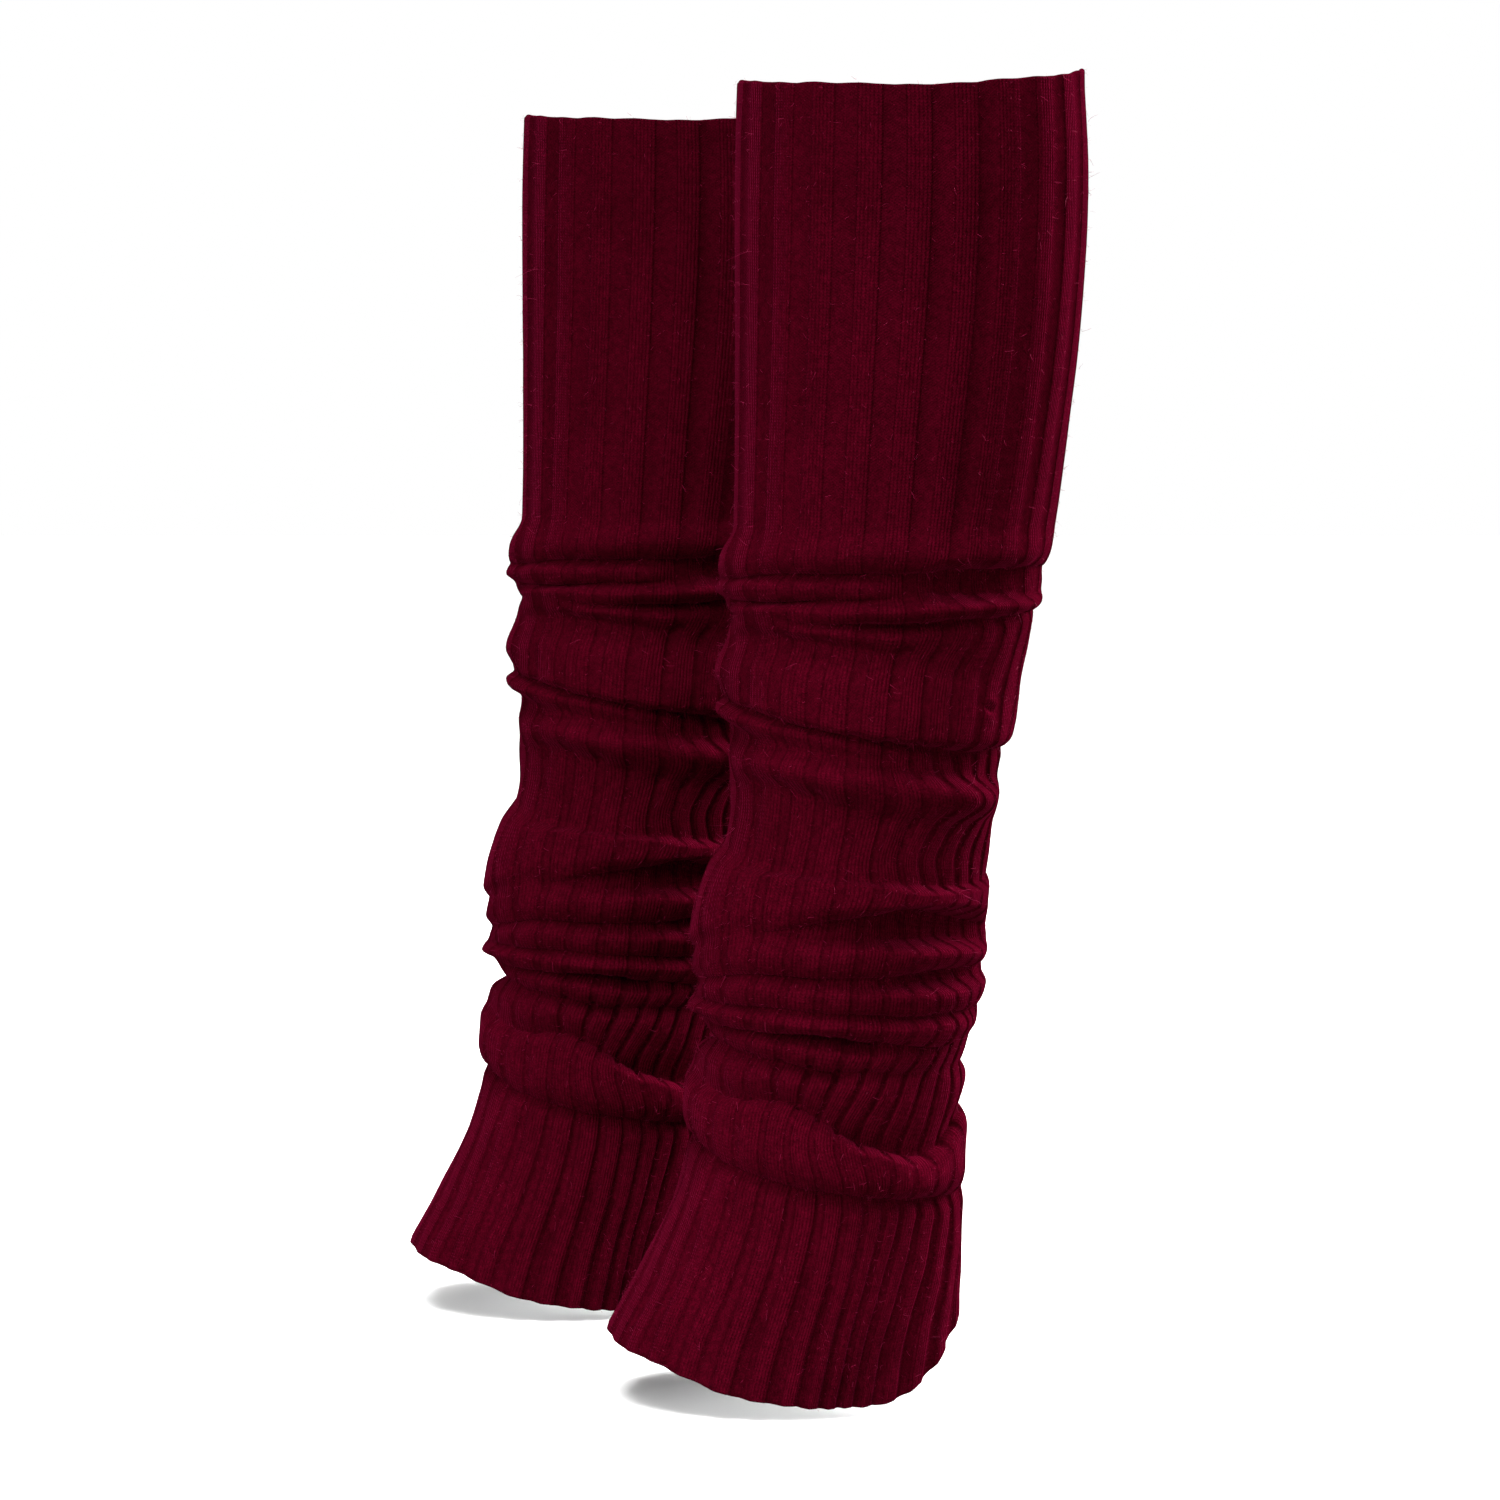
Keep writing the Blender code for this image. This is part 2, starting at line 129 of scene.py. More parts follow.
# Lines from the rim to the hem: their levels at the stations, and how far the cloth
# stands out from the leg's form there
Line = namedtuple("Line", "name turn levels bulges")
LINES = (
    Line("rim", PLAIN, (-0.7, 2.4, 4.3, 0.7, -4.7, 4.3),
         (0, 0, 0, 0, 0, 0)),
    Line("stretch end", DIP, (147, 147, 147, 147, 146, 147),
         (-0.6, -0.3, -0.3, -0.3, 0, -0.3)),
    Line("brow", RIDGE, (160.5, 157.5, 156.5, 157, 154.5, 156),
         (3.5, 1.6, 1.4, 1.6, 0.3, 1.4)),
    Line("first crease", TUCK, (165, 163, 162, 161.4, 160.5, 162),
         (2.5, -3.8, -6.8, -9, -1.8, -5)),
    Line("first roll", RIDGE, (169, 167, 166.6, 168.4, 166, 167.6),
         (4.2, 0.9, -1.2, -7.4, -0.6, 0)),
    Line("second crease", TUCK, (172, 171.8, 171, 170.6, 169, 171.4),
         (1, -4.2, -3.8, -4.2, 0, -4)),
    Line("cross roll", RIDGE, (174.8, 175, 174.6, 174.2, 172.3, 175.2),
         (-0.8, 2.2, 2.6, 3, 1.1, 2.6)),
    Line("third crease", TUCK, (177.8, 178, 178.8, 177, 175.6, 179),
         (-2.5, 1.2, -5.4, -4.4, -0.8, -4.2)),
    Line("soft roll", RIDGE, (181, 181, 182.8, 182, 179, 183),
         (-1.3, 0.4, 0.8, -1.6, 0, 0.6)),
    Line("soft crease", DIP, (185, 184, 189, 192.5, 183.5, 188),
         (-0.6, -2.4, -4, -1, 0, -2.6)),
    Line("slack", PLAIN, (197.5, 196.5, 201, 203, 197, 200),
         (3.1, 1.5, 1, 1, 0.3, 1.6)),
    Line("slack lip", RIDGE, (203, 207.5, 214.6, 218.4, 217.5, 216),
         (0.8, 1.8, 2.8, 3.2, 0.8, 2.8)),
    Line("lip crease", TUCK, (205.8, 210, 217.2, 221.6, 221.5, 219.5),
         (0.2, -3.2, -5.4, -6.6, -1.8, -5)),
    Line("small roll", RIDGE, (209, 213.4, 220, 225, 226, 222.4),
         (3.8, 1.6, -1.6, -5.2, -0.8, -1.6)),
    Line("small crease", DIP, (214.8, 219.6, 223.8, 229.4, 231, 226.6),
         (-2.2, -2.2, -2.8, -4.4, -0.8, -2.4)),
    Line("bright roll", RIDGE, (226.5, 226.5, 231.8, 237, 240, 235),
         (-1.2, 2.6, 4, 3.8, 0.8, 3.2)),
    Line("spot crease", DIP, (237.3, 234.5, 243, 248, 248, 243),
         (-1.1, -3.4, -5.4, -4.6, -0.6, -3.8)),
    Line("hollow", LEDGE, (254, 260.4, 263.4, 267, 266, 264),
         (-1.4, -2.4, -4, -4.8, -1.2, -3.6)),
    Line("shelf top", PLAIN, (262, 263, 266, 269.8, 269.6, 266.8),
         (1.8, 2.4, 2.3, 2.2, 0.3, 2)),
    Line("shelf", RIDGE, (285.8, 275, 272, 273, 277, 274),
         (4.8, 3.2, 2.8, 3, -0.2, 2.8)),
    Line("pocket", TUCK, (291.5, 282.5, 277.6, 276.4, 283, 279.5),
         (1.4, 1.4, -8.2, -13, -1.2, -5.6)),
    Line("pocket floor", PLAIN, (294, 286, 281.8, 284, 287.5, 284),
         (1.6, 1.6, -5.2, -11.4, -0.8, -4.6)),
    Line("band roll", RIDGE, (297.3, 290.5, 289, 290.4, 291, 290),
         (1.8, 2, 2.2, 2, 0, 2.2)),
    Line("band crease", TUCK, (302.4, 296.4, 297.2, 295.6, 296, 297),
         (-0.8, -2.6, -5, -8.6, -1.6, -4.8)),
    Line("band floor", PLAIN, (303.4, 298, 298.8, 299.8, 298.4, 299),
         (-0.7, -1.2, -3, -6.6, -1, -3)),
    Line("rib roll", RIDGE, (305, 302, 303, 304.2, 302.6, 303),
         (-0.4, 1.2, 1.8, 1.4, 0.8, 1.6)),
    Line("thin crease", TUCK, (307.6, 307.2, 308.8, 310.4, 310.4, 309.2),
         (0.4, -3, -4, -4.8, -0.6, -3.6)),
    Line("ankle roll", RIDGE, (310.4, 311.2, 313.2, 315.8, 315.4, 313.8),
         (2.8, 1.8, 1.4, 1, 0.3, 1.4)),
    Line("dark crease", TUCK, (314, 315.4, 317, 321.2, 320.4, 318.6),
         (-1.2, -4.2, -9.8, -4.2, -1, -4.2)),
    Line("under roll", RIDGE, (317, 319.2, 322.8, 325.6, 324.4, 323.4),
         (-4.4, -0.8, -0.4, -2.2, -1.8, 0.4)),
    Line("notch", TUCK, (320, 323, 328, 330, 328.6, 328),
         (-6.8, -4.4, -6, -3.2, -3.2, -4.8)),
    Line("knuckle", RIDGE, (325, 328.6, 334, 338, 336, 335),
         (-1, -0.2, 0, -2.6, -0.3, 0.2)),
    Line("shadow", LEDGE, (330, 336.2, 347, 359.4, 346, 347),
         (0.8, -2, -5, -7.4, -2.2, -4.2)),
    Line("thick roll top", PLAIN, (336, 340, 350.4, 362, 350.5, 350.4),
         (3.8, 2.8, 2.6, 1.4, 1.2, 2.6)),
    Line("thick roll", RIDGE, (343.5, 350.4, 360, 367.6, 363, 360),
         (4, 3.6, 3.6, 3, 1.5, 3.4)),
    Line("roll crease", TUCK, (352.4, 361, 368.4, 373, 372, 369),
         (-1.6, -3.8, -5.8, -5.6, -0.8, -5)),
    Line("flare start", DIP, (359.5, 367.4, 374.8, 379, 379, 375.6),
         (-0.4, -0.9, -1.2, -1.4, 0, -1)),
    Line("hem", PLAIN, (421.2, 426.5, 438.0, 438.0, 413.5, 434.0),
         (0, 0, 0, 0, 0, 0)),
)
LINE_NUMBERS = {line.name: number for number, line in enumerate(LINES)}

# Places where a line leaves its smooth course: how far that reaches, in degrees, how much
# lower the line lies there, and how much farther out the cloth stands
Touch = namedtuple("Touch", "line angle reach lower out")
TOUCHES = (
    Touch("first crease", angle=110, reach=17, lower=-0.4, out=-2.2),
    Touch("first crease", angle=156, reach=16, lower=0.0, out=1.6),
    Touch("first roll", angle=110, reach=17, lower=0.9, out=-5.0),
    Touch("first roll", angle=156, reach=16, lower=0.0, out=1.8),
    Touch("knuckle", angle=35, reach=26, lower=2.2, out=0.0),
    Touch("shadow", angle=35, reach=26, lower=4.0, out=-0.4),
    Touch("thick roll top", angle=35, reach=26, lower=4.0, out=0.0),
    Touch("shadow", angle=70, reach=14, lower=-3.5, out=-0.6),
    Touch("thick roll top", angle=70, reach=14, lower=-3.0, out=0.2),
    Touch("shadow", angle=100, reach=9, lower=1.6, out=-1.0),
    Touch("thick roll top", angle=100, reach=9, lower=1.4, out=0.0),
    Touch("second crease", angle=112, reach=14, lower=0.0, out=1.6),
    Touch("third crease", angle=92, reach=16, lower=0.4, out=-1.0),
    Touch("dark crease", angle=84, reach=6, lower=0.8, out=-1.0),
    Touch("dark crease", angle=99, reach=9, lower=1.4, out=-3.2),
    Touch("notch", angle=86, reach=11, lower=0.6, out=-2.6),
    Touch("soft crease", angle=68, reach=8, lower=0.0, out=-1.6),
    Touch("pocket", angle=118, reach=16, lower=-1.4, out=-1.0),
    Touch("pocket floor", angle=112, reach=18, lower=1.6, out=-1.6),
    Touch("dark crease", angle=262, reach=9, lower=0.0, out=-2.0),
    Touch("pocket", angle=236, reach=16, lower=-1.0, out=-2.5),
    Touch("pocket floor", angle=236, reach=16, lower=1.0, out=-2.5),
    Touch("shadow", angle=292, reach=14, lower=-3.0, out=-0.6),
    Touch("thick roll top", angle=292, reach=14, lower=-2.6, out=0.2),
)

# How deep the grooves are at the stations: shallow where the cloth is stretched or
# rolled over, deep where it hangs slack
Relief = namedtuple("Relief", "line depths")
RELIEFS = (
    Relief("rim", (0.25, 0.35, 0.8, 0.5, 0.25, 0.5)),
    Relief("stretch end", (0.25, 0.35, 0.8, 0.5, 0.25, 0.5)),
    Relief("brow", (0.3, 0.25, 0.25, 0.3, 0.35, 0.3)),
    Relief("first crease", (0.2, 0.15, 0.1, 0.2, 0.3, 0.2)),
    Relief("cross roll", (0.3, 0.2, 0.2, 0.2, 0.3, 0.3)),
    Relief("third crease", (0.3, 0.2, 0.2, 0.4, 0.5, 0.3)),
    Relief("soft crease", (0.4, 0.3, 0.6, 0.8, 0.35, 0.7)),
    Relief("slack", (0.4, 0.4, 0.8, 0.85, 0.35, 0.8)),
    Relief("slack lip", (0.3, 0.4, 0.5, 0.7, 0.4, 0.5)),
    Relief("small roll", (0.4, 0.35, 0.6, 1.1, 0.8, 0.8)),
    Relief("bright roll", (0.4, 0.4, 0.4, 0.5, 0.5, 0.5)),
    Relief("spot crease", (0.5, 0.6, 1.1, 1.3, 0.8, 1.0)),
    Relief("hollow", (0.5, 0.5, 0.7, 0.9, 0.6, 0.7)),
    Relief("shelf top", (0.3, 0.2, 0.1, 0.1, 0.15, 0.15)),
    Relief("shelf", (0.4, 0.6, 0.65, 0.6, 0.5, 0.6)),
    Relief("pocket", (0.3, 0.2, 0.1, 0.2, 0.4, 0.2)),
    Relief("band roll", (0.3, 0.5, 0.5, 0.45, 0.35, 0.5)),
    Relief("band crease", (0.3, 0.2, 0.15, 0.2, 0.4, 0.2)),
    Relief("rib roll", (0.4, 0.55, 0.6, 0.5, 0.4, 0.55)),
    Relief("thin crease", (0.3, 0.25, 0.2, 0.4, 0.6, 0.3)),
    Relief("ankle roll", (0.3, 0.25, 0.25, 0.7, 0.7, 0.5)),
    Relief("dark crease", (0.3, 0.25, 0.2, 1.2, 1.0, 0.5)),
    Relief("under roll", (0.4, 0.3, 0.4, 1.4, 1.1, 0.7)),
    Relief("notch", (0.4, 0.5, 1.5, 1.8, 1.2, 1.0)),
    Relief("knuckle", (0.5, 0.8, 2.5, 2.2, 1.3, 1.6)),
    Relief("shadow", (0.3, 0.4, 1.2, 1.2, 0.7, 0.8)),
    Relief("thick roll top", (0.3, 0.2, 0.15, 0.15, 0.2, 0.2)),
    Relief("thick roll", (0.4, 0.6, 0.7, 0.65, 0.4, 0.6)),
    Relief("roll crease", (0.3, 0.3, 0.3, 0.4, 0.6, 0.4)),
    Relief("flare start", (0.3, 0.8, 1.9, 1.7, 1.0, 1.3)),
    Relief("hem", (0.3, 0.9, 2.6, 1.9, 0.9, 1.6)),
)

# How fast the cloth runs past a line, as a share of a straight run to the next one, and
# how steeply it turns in and hangs out at a crease
ROUND_PACE = 1.5
EASY_PACE = 1.1
HANG_PACE = 0.8
HANG_RISE = 0.25
TUCK_RISE = 1.4
OVERHANG = 0.6

# The least step in the cloth, in millimetres, that makes a full ridge, crease or overhang
FULL_TURN = 0.8
FULL_TUCK = 3.5

# How uneven each line is: how much its level wanders, how much its bulge varies, and the
# turn from one line's pattern to the next
UNEVEN_LEVEL = 0.35
UNEVEN_BULGE = 0.12
UNEVEN_STEP = 2.4

# The unevenness all over the cloth: its height, the share of it in the stretched top, the
# level where the slack cloth starts, and the run over which the cloth grows slack
UNEVEN_HEIGHT = 0.42
STRETCHED_SHARE = 0.12
SLACK_START = 135.0
SLACK_RUN = 40.0

# How far a rib strays sideways, as a share of a rib
RIB_STRAY = 0.012

# The rim and the hem: how far they wander, the parts of that within a rib and from rib to
# rib, and how far in it reaches, as a share of the rows
EDGE_WAVE = 0.4
WAVE_IN_RIB = 0.4
WAVE_BY_RIB = 0.5
EDGE_REACH = 0.05

# The wall's rounded edge: how far round it each row lies, in degrees from the outside, and
# how far the edge stands out, as a share of the wall
EDGE_TURNS = (30.0, 65.0, 100.0, 140.0)
EDGE_ROUND = 0.45

# Rows of points: the angles in degrees at which the lines are measured, the spacing along
# the cloth in the folds, how much longer a curved run is than a straight one, the fewest
# rows between two lines, and the rows in the two plain stretches
MEASURE_STEP = 15.0
ROW_STEP = 1.75
CURVE_ALLOWANCE = 1.15
FEWEST_ROWS = 3
PLAIN_ROWS = {"rim": 26, "flare start": 32}

# The plain inside has a row at each line, and every so many rows in the plain stretches
INNER_TOP_STEP = 5
INNER_FLARE_STEP = 4

# Columns of points in a rib, and the one half way up its groove's first side
RIB_COLUMNS = 10
GROOVE_END = 2

# How often a point's level and angle are worked out from one another
SETTLE_ROUNDS = 4

# The map to bake to: the share of its height for the outside and for the inside
OUTER_BAKE = 0.84
INNER_BAKE = 0.15

# How deep the inside lies in a groove: half way, so it is neither ridge nor groove
INNER_GROOVE = 0.5

# A short trough in the cloth: where it lies, how far it runs each way and how wide it is,
# the slant of its run in degrees, and how deep it is
Trough = namedtuple("Trough", "level angle length width climb depth")
TROUGHS = (
    Trough(level=189.5, angle=99, length=4.0, width=2.0, climb=25, depth=1.0),
    Trough(level=191.5, angle=111, length=4.0, width=1.8, climb=25, depth=0.8),
    Trough(level=195.5, angle=124, length=4.0, width=1.8, climb=25, depth=0.7),
    Trough(level=207.6, angle=140, length=3.6, width=1.3, climb=-15, depth=1.5),
    Trough(level=238.5, angle=66, length=3.6, width=2.4, climb=20, depth=0.9),
    Trough(level=242.0, angle=80, length=4.6, width=3.0, climb=20, depth=1.2),
    Trough(level=245.5, angle=97, length=5.0, width=3.0, climb=20, depth=1.2),
    Trough(level=247.5, angle=112, length=4.4, width=2.5, climb=25, depth=1.0),
    Trough(level=190.0, angle=262, length=5.0, width=2.0, climb=-20, depth=0.9),
    Trough(level=208.0, angle=300, length=3.6, width=1.4, climb=15, depth=1.3),
    Trough(level=240.5, angle=282, length=5.0, width=2.8, climb=-20, depth=1.1),
    Trough(level=244.0, angle=252, length=4.4, width=2.4, climb=-20, depth=1.0),
    Trough(level=333.0, angle=286, length=5.5, width=2.2, climb=-35, depth=1.0),
    Trough(level=200.0, angle=205, length=6.0, width=2.6, climb=10, depth=0.7),
)

# The soft lips beside a trough: where they stand and how wide they are, in widths of the
# trough, and how high, as a share of its depth
LIP_PLACE = 2.0
LIP_WIDTH = 1.1
LIP_HEIGHT = 0.35

# Fibres on the cloth: how many, how long and thick, how straight they stand out, how far
# they wander, how much they bend, and in how many steps
Fibre = namedtuple("Fibre", "count length radius stand spread bend steps")
FIBRES = (
    Fibre(count=7400, length=1.7, radius=0.03, stand=1.0, spread=0.6, bend=0.5, steps=2),
    Fibre(count=3000, length=1.2, radius=0.07, stand=0.35, spread=0.9, bend=2.0, steps=3),
    Fibre(count=70, length=3.4, radius=0.06, stand=0.25, spread=0.9, bend=2.2, steps=6),
)
FIBRE_SEED = 7
THIRDS = (0.0, math.tau / 3.0, math.tau / 1.5)

# Every fibre: how far its root strays, the share of its length that is under the surface,
# how far it bends, how much thinner its tip is, and the shortest one's share of the length
ROOT_SCATTER = 0.5
ROOT_SHARE = 0.12
BEND_SHARE = 0.8
TAPER = 0.6
SHORTEST = 0.4

# Colours of the yarn, of its sheen, of the fibres from dark to light, and of the studio
YARN_COLOUR = (0.063, 0.0009, 0.0068, 1.0)
SHEEN_TINT = (1.0, 0.03, 0.17, 1.0)
FIBRE_COLOURS = ((0.2, 0.004, 0.03, 1.0), (0.6, 0.02, 0.11, 1.0))
FLOOR_COLOUR = (0.9, 0.9, 0.9, 1.0)
WHITE = (1.0, 1.0, 1.0, 1.0)

# The camera: its lens and film, its place in metres, and how far it looks down, in degrees
CAMERA_LENS = 106.2
CAMERA_FILM = 36.0
CAMERA_PLACE = (1.5, -0.0549, -0.1146)
CAMERA_PITCH = 4.16

# The floor, in metres, and the light that it alone gets: its strength, and its width in
# degrees
FLOOR_LEVEL = -0.4445
FLOOR_HALF = 12.0
FLOOR_SUN = 4.6
FLOOR_SUN_WIDTH = 50.0
FLOOR_SUN_PLACE = (0.0, 0.0, 3.0)

# Soft lights on the cloth: where they stand and how wide they are, in metres, and their
# power in watts; all are turned to the middle of the pair
MIDDLE = (-0.08, -0.05, -0.2)
Light = namedtuple("Light", "name place size power")
LIGHTS = (
    Light("top", (0.35, -0.1, 1.7), 1.6, 44.0),
    Light("key", (1.6, -0.4, 0.9), 1.2, 13.5),
    Light("toe_side", (1.3, -1.4, 0.2), 1.2, 17.0),
    Light("heel_side", (-1.1, 1.5, 0.5), 1.1, 105.0),
    Light("fill", (1.7, 0.7, -0.4), 1.2, 9.0),
    Light("back", (-1.8, -0.3, 0.5), 1.3, 28.0),
    Light("bounce", (1.0, -0.2, -1.0), 1.0, 4.0),
)


def mix(first, second, share):
    """A value part of the way from one to another."""
    return first + (second - first) * share


def soft_step(share):
    """A share that starts and ends gently."""
    return share * share * (3.0 - 2.0 * share)


def hermite(start, end, leave, arrive, share):
    """A cubic from start to end with the given slopes over a unit run."""
    square = share * share
    cube = square * share
    from_start = start * (2.0 * cube - 3.0 * square + 1.0) + leave * (cube - 2.0 * square + share)
    return from_start + end * (3.0 * square - 2.0 * cube) + arrive * (cube - square)


def wave(turn, crests, shift=0.0):
    """A wave with so many crests round the leg, moved on by a shift in radians."""
    return np.sin(crests * turn + shift)


def turn_from(angles, angle):
    """How far angles lie from an angle, in degrees, the shorter way round the leg."""
    return (angles - angle + TURN / 2.0) % TURN - TURN / 2.0


def knot_slopes(knots, values):
    """Slopes at the knots of a smooth curve through the values; the last axis counts knots."""
    spans = np.diff(knots)
    rises = np.diff(values) / spans
    slopes = np.empty(values.shape)
    slopes[..., 0] = rises[..., 0]
    slopes[..., -1] = rises[..., -1]
    before, after = spans[..., :-1], spans[..., 1:]
    slopes[..., 1:-1] = (rises[..., :-1] * after + rises[..., 1:] * before) / (before + after)
    return slopes


def gentle_slopes(knots, values):
    """Slopes at the knots that never let the curve swing past its values."""
    rises = np.diff(values) / np.diff(knots)
    before, after = rises[..., :-1], rises[..., 1:]
    slopes = np.zeros(values.shape)
    same_way = before * after > 0.0
    total = np.where(same_way, before + after, 1.0)
    slopes[..., 1:-1] = np.where(same_way, 2.0 * before * after / total, 0.0)
    return slopes


def smooth_values(knots, values, at):
    """Reads a smooth curve through the values, which stand at rising knots."""
    knots = np.asarray(knots, float)
    values = np.asarray(values, float)
    slopes = knot_slopes(knots, values)
    at = np.clip(at, knots[0], knots[-1])
    index = np.clip(np.searchsorted(knots, at) - 1, 0, len(knots) - 2)
    span = knots[index + 1] - knots[index]
    share = (at - knots[index]) / span
    leave, arrive = slopes[index] * span, slopes[index + 1] * span
    return hermite(values[index], values[index + 1], leave, arrive, share)


def round_values(values, angles):
    """Reads a smooth closed curve round the leg through values at the stations."""
    looped = [values[-1], *values, values[0], values[1]]
    return smooth_values(LOOPED_STATIONS, looped, np.asarray(angles) % TURN)


def column(rows, name, at):
    """Reads one column of a table at any levels."""
    return smooth_values([row.level for row in rows], [getattr(row, name) for row in rows], at)


def rib_angles(ribs, levels):
    """The angles at which places counted in ribs from the shin lie at the levels."""
    tables = np.array([row.ribs for row in RIB_SPREADS])
    rows = [row.level for row in RIB_SPREADS]
    shown = [smooth_values(rows, tables[:, place], levels) for place in range(tables.shape[1])]
    front, back = shown[0], shown[-1]
    right_side = (back + front + RIB_COUNT) / 2.0
    ribs = ribs - np.floor((ribs - front) / RIB_COUNT) * RIB_COUNT
    past_shin = (front + RIB_COUNT, shown[1] + RIB_COUNT)
    knots = np.stack([right_side - RIB_COUNT, *shown, right_side, *past_shin], axis=-1)
    angles = np.broadcast_to(np.array(LOOPED_STATIONS, float), knots.shape)
    slopes = knot_slopes(knots, angles)
    passed = (ribs[..., None] > knots[..., 1:-1]).sum(axis=-1)
    index = np.clip(passed, 0, knots.shape[-1] - 2)[..., None]

    def read(table, step):
        return np.take_along_axis(table, index + step, -1)[..., 0]

    span = read(knots, 1) - read(knots, 0)
    share = (ribs - read(knots, 0)) / span
    leave, arrive = read(slopes, 0) * span, read(slopes, 1) * span
    angle = hermite(read(angles, 0), read(angles, 1), leave, arrive, share)
    pushed = np.zeros(angle.shape)
    for sway in SWAYS:
        down = (levels - sway.level) / sway.reach_down
        aside = (angle - sway.angle) / sway.reach_round
        pushed += sway.degrees * np.exp(-down * down - aside * aside)
    return angle + pushed


def groove_depths(place, angles):
    """How deep the grooves are at a place counted in lines, at the angles."""
    places = [LINE_NUMBERS[relief.line] for relief in RELIEFS]
    columns = zip(*(relief.depths for relief in RELIEFS))
    stations = [np.interp(place, places, depths) for depths in columns]
    knots = np.array(LOOPED_STATIONS[:-1])
    looped = np.array([stations[-1], *stations, stations[0]])
    turn = np.asarray(angles) % TURN
    index = np.clip(np.searchsorted(knots, turn) - 1, 0, len(knots) - 2)
    share = (turn - knots[index]) / (knots[index + 1] - knots[index])
    return mix(looped[index], looped[index + 1], soft_step(share))


def leg_points(levels, angles, out):
    """Points that stand a distance out from the leg's form, in millimetres."""
    front = column(SECTIONS, "front", levels)
    back = column(SECTIONS, "back", levels)
    side = column(SECTIONS, "side", levels)
    depth = (front + back) / 2.0
    across = np.sin(np.radians(angles))
    along = -np.cos(np.radians(angles))
    normal = np.stack((across * depth, along * side), axis=-1)
    normal /= np.linalg.norm(normal, axis=-1, keepdims=True)
    x = across * side + normal[..., 0] * out
    y = (back - front) / 2.0 + along * depth + normal[..., 1] * out
    return np.stack((x, y, -levels), axis=-1)


def line_values(angles):
    """Levels and bulges of every line at the angles: two arrays, a row for each line."""
    levels = np.array([round_values(line.levels, angles) for line in LINES])
    bulges = np.array([round_values(line.bulges, angles) for line in LINES])
    turn = np.radians(angles)
    for number in range(1, len(LINES) - 1):
        own = UNEVEN_STEP * number
        sway = wave(turn, crests=4, shift=own) + 0.6 * wave(turn, crests=9, shift=-2.0 * own)
        levels[number] += UNEVEN_LEVEL * sway
        bulges[number] *= 1.0 + UNEVEN_BULGE * wave(turn, crests=5, shift=3.0 * own)
    for touch in TOUCHES:
        aside = turn_from(angles, touch.angle) / touch.reach
        near = np.exp(-aside * aside)
        levels[LINE_NUMBERS[touch.line]] += touch.lower * near
        bulges[LINE_NUMBERS[touch.line]] += touch.out * near
    return levels, bulges


def turn_share(bulges, number, sign):
    """How far the cloth really turns at a line: 1 for a ridge or valley, 0 on a slope."""
    if number in (0, len(LINES) - 1):
        return np.zeros(bulges.shape[1])
    before = sign * (bulges[number] - bulges[number - 1])
    after = sign * (bulges[number] - bulges[number + 1])
    return np.clip(np.minimum(before, after) / FULL_TURN, 0.0, 1.0)


def run_slopes(levels, bulges, number):
    """Slopes of level and bulge at both ends of the run below a line."""
    fall = levels[number + 1] - levels[number]
    rise = bulges[number + 1] - bulges[number]
    tangents = gentle_slopes(levels.T, bulges.T).T
    tuck = np.clip(np.abs(rise) / FULL_TUCK, 0.0, 1.0)

    def end(place, leaving):
        turn = LINES[place].turn
        plain = tangents[place] * fall
        if turn == PLAIN:
            return fall, plain
        share = turn_share(bulges, place, 1.0 if turn == RIDGE else -1.0)
        if turn == RIDGE:
            return mix(fall, ROUND_PACE * fall, share), mix(plain, 0.0, share)
        if turn == DIP:
            return mix(fall, EASY_PACE * fall, share), mix(plain, 0.0, share)
        if leaving == (turn == TUCK):
            return mix(fall, HANG_PACE * fall, share), mix(plain, HANG_RISE * rise, share)
        return mix(fall, -OVERHANG * fall, tuck * share), mix(plain, TUCK_RISE * rise, share)

    return end(number, True), end(number + 1, False)


def row_places():
    """Where rows of points lie: the line each follows and its share of the way to the next."""
    levels, bulges = line_values(np.arange(0.0, TURN, MEASURE_STEP))
    places = []
    for number, line in enumerate(LINES[:-1]):
        fall = levels[number + 1] - levels[number]
        rise = bulges[number + 1] - bulges[number]
        length = CURVE_ALLOWANCE * np.hypot(fall, rise).max()
        count = PLAIN_ROWS.get(line.name, max(FEWEST_ROWS, round(length / ROW_STEP)))
        places += [(number, step / count) for step in range(count)]
    places.append((len(LINES) - 2, 1.0))
    return places


def rib_shares(level):
    """Places of a rib's columns, from the middle of its groove: see RIB_COLUMNS."""
    half = column(RIB_SPREADS, "groove", level) / 2.0
    slope = column(RIB_SPREADS, "slope", level)
    floor = half - slope / 2.0
    top = half + slope / 2.0
    quarter = (top + 0.5) / 2.0
    right = [floor, half, top, quarter]
    return np.array([0.0, *right, 0.5, *[1.0 - share for share in reversed(right)]])


def sunken(shares, levels):
    """How deep a place lies under the ridges, from 1 on a groove's floor to 0 on top."""
    half = column(RIB_SPREADS, "groove", levels) / 2.0
    slope = column(RIB_SPREADS, "slope", levels)
    away = np.minimum(shares, 1.0 - shares)
    return soft_step(np.clip((half + slope / 2.0 - away) / slope, 0.0, 1.0))


def cloth_row(number, share, ribs):
    """Levels, angles and bulges of one row at places counted in ribs."""
    level = np.full(ribs.shape, float(LINES[number].levels[LEFT_SIDE]))
    for _ in range(SETTLE_ROUNDS):
        angle = rib_angles(ribs, level)
        levels, bulges = line_values(angle)
        leaving, arriving = run_slopes(levels, bulges, number)
        level = hermite(levels[number], levels[number + 1], leaving[0], arriving[0], share)
    bulge = hermite(bulges[number], bulges[number + 1], leaving[1], arriving[1], share)
    return level, angle, bulge


